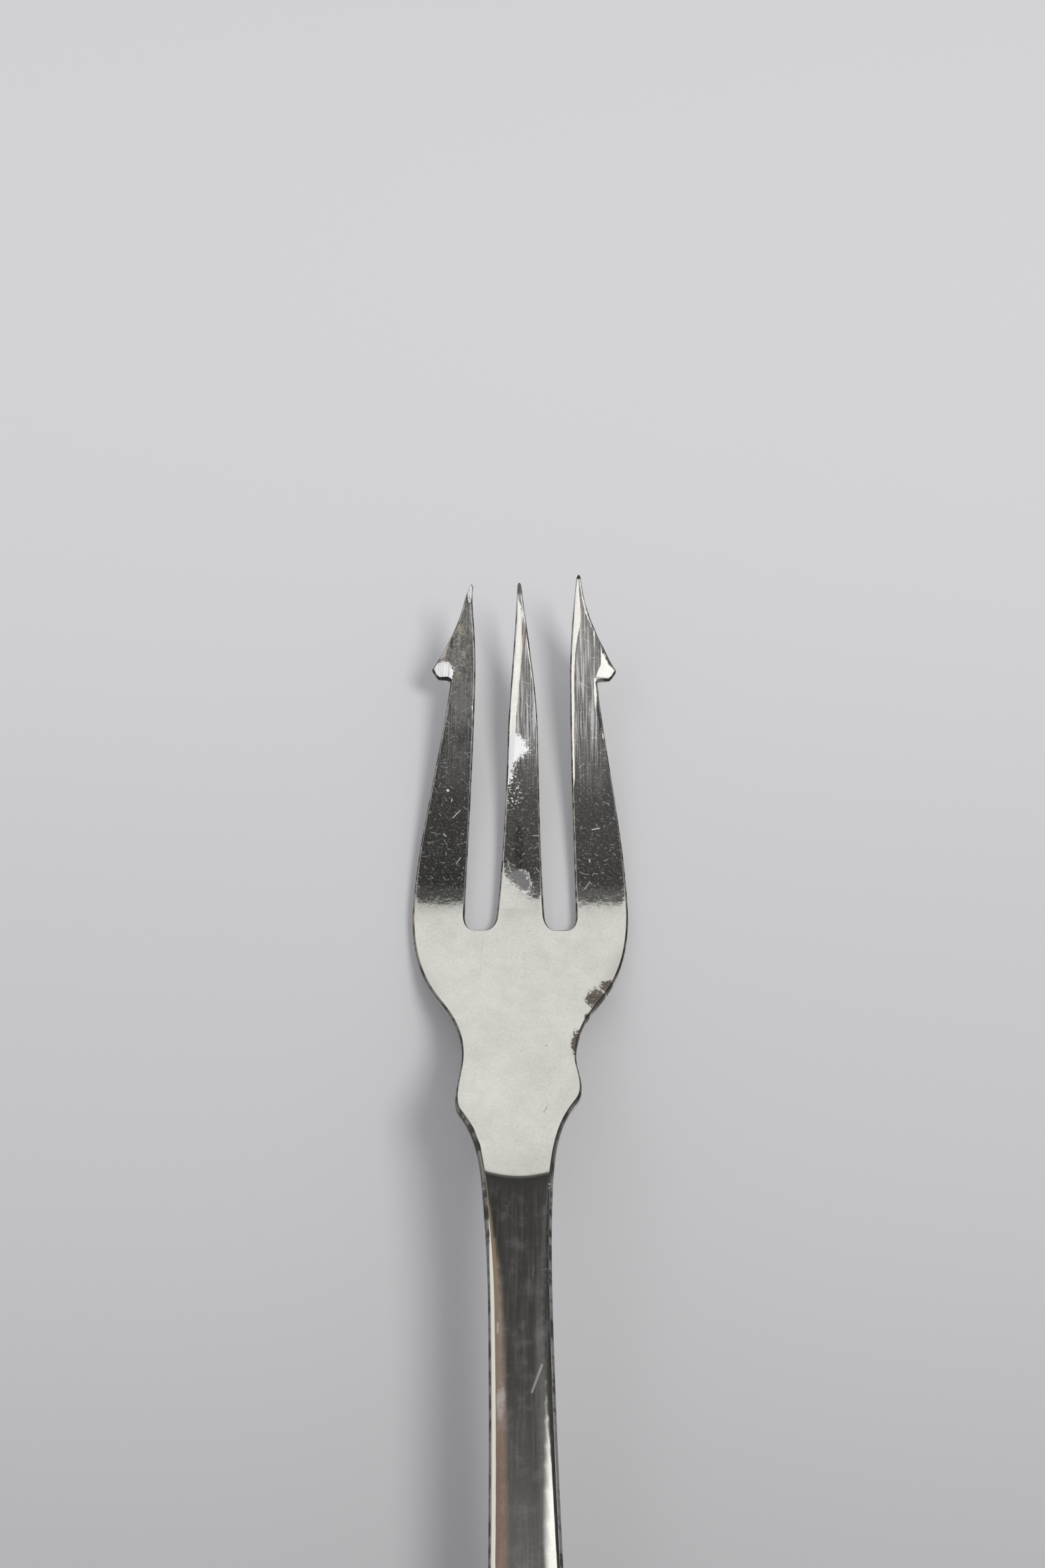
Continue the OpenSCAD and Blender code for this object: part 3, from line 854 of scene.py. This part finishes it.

# %% [markdown]
# ## Tarnish and dark edging
# The left tine is dulled by a grey patina with a beige film. Brown tarnish sits in three spots at
# the right edge of the head and the neck, each with a faint halo. On the middle tine a small sheet
# of the plate has lifted, with a bright rim. A near-black band follows the outline, wider at the
# neck, and covers two tips.

# %% Patina and tarnish
patina = mottle.step(0.4, 0.6) * left_tine * (1 - s.step(8, 13))
beige = metal.patch(-4.5, 5.6, 0.55, 2.4, 0.6) * (mottle * 0.6 + specks * 0.4).step(0.49, 0.55) * left_tine
# Painted shade with some grime: the left tine's mirror colour is darkened, most on its upper part, where it
# shows a dark reflection
grime = left_tine * tines * (0.5 + (1 - s.step(11, 16)) * 0.4) * (0.7 + mottle.step(0.35, 0.6) * 0.3)
stained = metal.blob(5.12, 34.5, 0.8, 1.2).higher(metal.blob(5.75, 33.2, 0.5, 0.85)) + grain * 1.1
stained = stained.higher(metal.blob(3.72, 39.2, 0.42, 1.4) + grain * 0.8 + 0.1)
stained = stained.higher(metal.blob(4.45, 36.5, 0.3, 0.6) + grain * 0.8 - 0.1)
tarnish = stained.step(0, 0.25) * x.step(3.2, 3.3) * plain
halo = (stained + 0.9).step(0, 1.2) * x.step(3.0, 3.3) * plain * 0.16
lifted = metal.blob(-0.1, 23.6, 0.7, 0.5).higher(metal.blob(0.25, 24.1, 0.42, 0.75)) + grain * 1.1
sheet = lifted.step(0, 0.08) * middle
rim = (lifted + 0.35).step(0, 0.1) * x.step(-0.4, 0.1) * middle

# %% Dark band along the outline
width = 0.03 + s.step(1, 5) * 0.055 + s.step(42, 52) * (0.025 + x.step(0, 1) * 0.05)
width = width + s.step(43, 47) * (1 - s.step(53, 58)) * (1 - x.step(-1, 0)) * 0.15 + (mottle - 0.5) * 0.08
# A near-black band along the outline, wider at the neck, stronger on the top face, and over two tips
dirt = (1 - (depth - width).step(0, 0.04)) * (0.85 + mottle.step(0.4, 0.6) * 0.15)
dirt = dirt * (0.2 + top.step(0.3, 0.7) * 0.8)
dark_tips = ((1 - s.step(0.3, 0.45)) * right_tine).higher((1 - s.step(1.3, 2.1)) * middle * 0.92)
dirt = dirt.higher(dark_tips).higher(metal.patch(2.0, 51.6, 0.16, 0.12) * 0.8)
right_film = (1 - depth.step(0.2, 1.1)) * s.step(28.5, 30.5) * (1 - s.step(34, 36)) * x.step(4, 5)
left_film = (1 - depth.step(0.2, 0.8)) * s.step(29.5, 31) * (1 - s.step(33, 35)) * (1 - x.step(-5, -4))
film = (right_film + left_film * 0.5) * (0.35 + (grain + 0.5).clamp() * 0.65)
print("nodes so far:", len(metal.tree.nodes))

# %% [markdown]
# ## Bevels and dents
# Small heights, in millimetres, turn the mirror without changing the shape. Bevels are filed along
# the left edges of the middle and the right tine. The right barb's facet starts at its own curve:
# between the notch and that curve the flank undoes the slope of the mesh. A slight twist at the
# root of the middle tine makes its reflection end on a slant.

# %% Heights for the bump
bevel = beyond(through(mid_left_keys, s) + through(mid_bevel_keys, s) - x) * middle
bevel = bevel + beyond(through(right_in_keys, s) + through(right_bevel_keys, s) - x) * right_tine
bevel = bevel * upper.higher(1 - s.step(16, 18)) * -0.42
past_facet = beyond(x - through(barb_facet_keys, s))
flank = (x - NOTCH).higher(0) - past_facet * s.step(4, 5)
flank = flank.higher(0) * (1 - s.step(7.6, 8.2))
facet = past_facet * (1 - s.step(11.4, 12)) * x.step(4.4, 4.6)
facet = facet * ((s - BARB_BACK - BARB_UNDER).higher(0) * 0.075 + 0.04)
border = 3.7 + ((s - 27.6) * 0.5).clamp() * 3.2
between = 1 - ((x.size() - 1.8) / (border - 1.8)).step(0, 1)
twist = (1.5 - x).higher(0).lower(3.0) * (s - 22.5).higher(0).lower(3.7) * (1 - s.step(27, 38))
twist = twist * between * 0.009
height = bevel - facet + flank * 0.3 + twist
height = height + (streaks - 0.5) * upper * 0.006 + (hairs - 0.5) * upper * 0.0012
height = height + (mottle - 0.5) * tines * 0.0045 + (specks - 0.5) * tines * 0.0004
bump = metal.add("ShaderNodeBump", None, {"Strength": 1.0, "Distance": 0.001, "Height": height * top})

# %% [markdown]
# ## Bright and dull silver
# The mirror is a little darker in clouds and in a smear on the middle tine, and warmer along the
# handle's left side. Its colour is also darkened as painted shade: on the left tine, with some
# grime, and in a band across the neck. The dull surface starts white, as frost and the painted
# highlights are, and each layer covers it where its mask is 1. The amount says how much of it hides
# the mirror.

# %% Mirror
smear = metal.patch(-0.15, 21.2, 0.3, 1.9, 0.5) * 0.55
# Painted shade: a band across the neck where the mirror's colour is darkened
shade = s.step(48.4, 50.2) * (1 - s.step(51, 52)) * 0.09
cloud = 0.5 + (clouds - 0.5) * 1.6 + (mottle - 0.5) * 0.9 + (specks - 0.5) * 1.2 + (fine - 0.5) * 0.6
bright = metal.blend(cloud.clamp(), (0.765, 0.75, 0.715, 1), (0.955, 0.94, 0.905, 1))
bright = metal.blend(smear.higher(grime).higher(shade), bright, (0.17, 0.165, 0.15, 1))
bright = metal.blend(s.step(50, 53) * (1 - x.step(-1.2, -0.8)), bright, (0.64, 0.62, 0.565, 1))
mirror = metal.add("ShaderNodeBsdfPrincipled", None, {
    "Base Color": bright, "Metallic": 1.0, "Normal": bump.outputs[0],
    "Roughness": 0.03 + plain * 0.03 + upper * 0.04 + brushed * 0.2 + patina * 0.2 + scratches * 0.2})

# %% Dull surface
brown = metal.blend(specks.step(0.4, 0.62), (0.038, 0.026, 0.016, 1), (0.125, 0.095, 0.066, 1))
dull_colour = (0.95, 0.94, 0.92, 1)
for mask, colour in (
    (patina * (1 - frost), (0.12, 0.115, 0.09, 1)), (beige * (1 - frost), (0.32, 0.3, 0.24, 1)),
    (sheet, (0.2, 0.195, 0.19, 1)), (handle * (1 - frost), (0.6, 0.59, 0.57, 1)),
    (plain, (0.3, 0.285, 0.25, 1)), (metal.patch(1.72, 39.3, 0.1, 0.1), (0.35, 0.12, 0.05, 1)),
    (tarnish, brown), (dirt, (0.014, 0.011, 0.008, 1)),
):
    dull_colour = metal.blend(mask, dull_colour, colour)
dull = metal.add("ShaderNodeBsdfPrincipled", None, {
    "Base Color": dull_colour, "Roughness": 0.55, "Specular IOR Level": 0.3, "Normal": bump.outputs[0]})

# %% Mix of the two
hair_lines = metal.stroke(-2.5, 28.6, -2.65, 32.0, 0.035).higher(metal.stroke(0.25, 29.6, 0.35, 32.4, 0.03))
faint = (hair_lines * 0.25).higher(metal.marks(1.1, 0.12, 0.06, 0.3, 51.3) * 0.35)
faint = faint.higher(metal.stroke(1.55, 45.8, 1.75, 45.3, 0.07) * 0.5)
faint = faint.higher(metal.patch(0.1, 39.9, 0.05, 0.05) * 0.6).higher(film * 0.4).higher(halo)
smudge = metal.patch(-0.88, 65.2, 0.25, 1.1, 0.7) * mottle.step(0.35, 0.6) * 0.35
rust_dot = metal.patch(1.72, 39.3, 0.06, 0.06)
amount = (haze + scratches * 0.22 + brushed * 0.44 + patina * 0.35 + beige * 0.5 + smudge).clamp()
for mask in (rim * 0.55, sheet * 0.82, faint * plain, frost, tarnish * 0.93, dirt * 0.97, rust_dot * 0.7):
    amount = amount.higher(mask)
mixed = metal.add("ShaderNodeMixShader", None, {0: amount, 1: mirror.outputs[0], 2: dull.outputs[0]})
metal.add("ShaderNodeOutputMaterial", None, {"Surface": mixed.outputs[0]})
print("silver nodes:", len(metal.tree.nodes))

# %% [markdown]
# ## The fork's mesh
# The bending tree runs as a modifier on a holder.

# %% Make the fork's mesh
def finished_fork():
    """The blank bent by the tree, as a plain mesh without a modifier."""
    holder = bpy.data.objects.new("fork_blank_holder", blank)
    bpy.context.scene.collection.objects.link(holder)
    modifier = holder.modifiers.new("Bend the blank", "NODES")
    modifier.node_group = bending
    for name, value in {
        "Tip lift": TIP_LIFT, "Arch lift": ARCH_LIFT, "Tine crown": TINE_CROWN,
        "Handle crown": HANDLE_CROWN, "Unevenness": 0.0015, "Metal": metal.material,
    }.items():
        modifier[bending_ids[name]] = value
    bpy.context.view_layer.update()
    solid = holder.evaluated_get(bpy.context.evaluated_depsgraph_get())
    mesh = bpy.data.meshes.new_from_object(solid)
    mesh.name = "worn_fork"
    bpy.data.objects.remove(holder)
    fork = bpy.data.objects.new("worn_fork", mesh)
    bpy.context.scene.collection.objects.link(fork)
    return fork


fork = finished_fork()
heights = [1000 * v.co.z for v in fork.data.vertices]
print("fork mesh:", len(fork.data.polygons), "faces, z", round(min(heights), 3), "to", round(max(heights), 3))
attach(fork, "root")
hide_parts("fork")

# %% [markdown]
# ## Stage
# The fork lies on a plain pale grey table. Its matt colour is painted a little darker under the
# camera and a little lighter at its far side: a painted fall of light across the table.

# %% Floor
FLOOR_HALF = 3.0


def floor_material():
    material = bpy.data.materials.new("pale_table")
    material.use_nodes = True
    tree = material.node_tree
    tree.nodes.clear()
    g = Graph(tree)
    where = g.add("ShaderNodeTexCoord").outputs["Object"]
    axes = g.add("ShaderNodeSeparateXYZ", None, {0: where})
    x, y = (Number(g, axes.outputs[i]) * 1000 for i in (0, 1))
    # Painted light: the grey is darker under the camera and lighter at the far side, standing in for the fall
    # of the light; the next line makes it slightly darker towards the right
    grey = through([
        (-260, 0.58, 0), (-90, 0.51, -0.0006), (-12, 0.462, 0), (4, 0.483, 0.0045), (26, 0.572, 0.003),
        (47, 0.62, 0.0022), (76, 0.69, 0.0016), (146, 0.735, 0), (400, 0.66, 0),
    ], y)
    grey = grey * (1 - x.higher(-90).lower(90) * 0.0003)
    colour = g.add("ShaderNodeCombineColor", None, {0: grey, 1: grey * 0.994, 2: grey * 0.99}).outputs[0]
    shader = g.add("ShaderNodeBsdfPrincipled", None, {"Base Color": colour, "Roughness": 0.85})
    g.add("ShaderNodeOutputMaterial", None, {"Surface": shader.outputs[0]})
    return material


floor_mesh = bpy.data.meshes.new("table_top")
corners = [(i * FLOOR_HALF, j * FLOOR_HALF, 0) for i, j in ((-1, -1), (1, -1), (1, 1), (-1, 1))]
floor_mesh.from_pydata(corners, [], [(0, 1, 2, 3)])
floor_mesh.materials.append(floor_material())
floor = bpy.data.objects.new("table_top", floor_mesh)
bpy.context.scene.collection.objects.link(floor)


# %% [markdown]
# ## Room
# A mirror shows its room, so the room is most of the look. Two numbers place its parts:
# the angle, from 0 at the horizon beyond the tips to 90 overhead, and dx, how far a direction
# points to the right. A white wall stands beyond the tips, up to 57 degrees. Above it the room is
# dark, with a brown board low at the left, a cream one further out, a white board with a grey
# border at the right, and a pale ceiling over the left half.

# %% What reflections see
def room_colour(g):
    """Colour of the room in each direction: a grey, and one board after another laid over it."""
    toward = g.add("ShaderNodeTexCoord").outputs["Generated"]
    axes = g.add("ShaderNodeSeparateXYZ", None, {0: toward})
    dx, dy, dz = (Number(g, axes.outputs[i]) for i in range(3))
    angle = dz.math("ARCTAN2", dy) * (180 / math.pi)
    front = 1 - angle.step(92, 112)
    grey = 0.042 + angle.step(58, 65) * 0.02 + angle.step(65, 72) * 0.06 + angle.step(71, 82) * 0.16
    grey = grey + angle.step(95, 125) * (dz.higher(0) * 0.45 - 0.06)
    room = g.add("ShaderNodeCombineColor", None, {0: grey, 1: grey * 0.99, 2: grey * 0.97}).outputs[0]
    band = angle.step(57.6, 57.8) * (1 - angle.step(58.6, 59.2))
    board = (1 - dx.step(-0.42, -0.26)) * (1 - angle.step(74, 80)) * angle.step(20, 30)
    warm = g.blend(angle.step(58, 61), (0.36, 0.25, 0.2, 1), (0.33, 0.27, 0.22, 1))
    warm = g.blend(angle.step(62, 66), warm, (0.24, 0.175, 0.15, 1))
    cream = (1 - dx.step(-0.64, -0.58)) * front
    ceiling = angle.step(88, 92) * (1 - angle.step(112, 118)) * (1 - dx.step(-0.1, 0))
    far = 0.7 + (angle - 58).higher(0).lower(7) * 0.03
    reach = 1 - (dx - far).step(0, 0.06)
    margin = dx.step(0.2, 0.42) * angle.step(59, 64) * reach * front
    near = 0.41 + (70 - angle).higher(0) * 0.018
    right = (dx - near).step(-0.1, 0.04) * reach * angle.step(61.5, 63) * front
    white = 0.72 - angle.step(55.4, 57.2) * 0.05
    white = g.add("ShaderNodeCombineColor", None, {0: white, 1: white * 1.01, 2: white * 0.98}).outputs[0]
    wall = (1 - angle.step(57.35, 57.6)) * (1 - dx.size().step(0.3, 0.4))
    for mask, colour in (
        (band * 0.4, (0.2, 0.2, 0.19, 1)), (board, warm), (cream, (1.04, 1.03, 1.0, 1)),
        (ceiling, (0.95, 0.95, 0.93, 1)), (margin, (0.15, 0.15, 0.145, 1)),
        (right, (1.16, 1.16, 1.13, 1)), (wall, white),
    ):
        room = g.blend(mask, room, colour)
    return room


# %% [markdown]
# The world gives each kind of ray what it needs: the camera sees a pale backdrop, matt surfaces
# get even light, and reflections see the room.

# %% World
def studio_world():
    world = bpy.data.worlds.new("studio_room")
    world.use_nodes = True
    tree = world.node_tree
    tree.nodes.clear()
    g = Graph(tree)
    ray = g.add("ShaderNodeLightPath")
    glossy = g.add("ShaderNodeBackground", None, {"Color": room_colour(g), "Strength": 1.0})
    even = g.add("ShaderNodeBackground", None, {"Color": (0.93, 0.94, 1.0, 1), "Strength": 0.58})
    pale = g.add("ShaderNodeBackground", None, {"Color": (0.72, 0.71, 0.75, 1), "Strength": 1.0})
    lit = g.add("ShaderNodeMixShader", None, {
        0: ray.outputs["Is Glossy Ray"], 1: even.outputs[0], 2: glossy.outputs[0]})
    seen = g.add("ShaderNodeMixShader", None, {
        0: ray.outputs["Is Camera Ray"], 1: lit.outputs[0], 2: pale.outputs[0]})
    g.add("ShaderNodeOutputWorld", None, {"Surface": seen.outputs[0]})
    bpy.context.scene.world = world
    return world


print("world nodes:", len(studio_world().node_tree.nodes))

# %% [markdown]
# ## Lamps
# One soft lamp stands at the right on the camera's side, about 55 degrees up, and throws the soft
# shadow to the left. A weak one at the left lifts that shadow a little. Lamps are kept out of
# reflections, since the world already holds the boards.

# %% Lamps
LIT_PLACE = Vector((0, 0.04, 0))


def lamp(name, toward, distance, size, watts, colour):
    """A round lamp at a distance from the head of the fork, turned to face it."""
    light = bpy.data.lights.new(name, "AREA")
    light.shape, light.size, light.energy, light.color = "DISK", size, watts, colour
    at = Vector(toward).normalized() * distance + LIT_PLACE
    rig = bpy.data.objects.new(name, light)
    rig.location = at
    rig.rotation_euler = (LIT_PLACE - at).to_track_quat("-Z", "Y").to_euler()
    rig.visible_glossy = False
    bpy.context.scene.collection.objects.link(rig)
    return rig


lamp("key_lamp", (0.444, -0.353, 0.823), 0.7, 0.25, 2.3, (1.0, 0.985, 0.97))
lamp("left_lamp", (-0.6, 0.2, 0.77), 0.8, 0.3, 0.25, (0.97, 0.98, 1.0))

# %% [markdown]
# ## Camera
# The camera looks down at about 52 degrees from the handle's side, close enough for the tines to
# show their perspective.

# %% Camera
camera_data = bpy.data.cameras.new("table_camera")
camera_data.lens, camera_data.sensor_width = 61.57, 36.0
camera_data.clip_start, camera_data.clip_end = 0.01, 20.0
camera = bpy.data.objects.new("table_camera", camera_data)
camera.location = (0.00069, -0.05684, 0.14848)
camera.rotation_euler = (math.radians(38), 0, math.radians(0.3))
bpy.context.scene.collection.objects.link(camera)
bpy.context.scene.camera = camera
bpy.context.scene.view_settings.view_transform = "Standard"
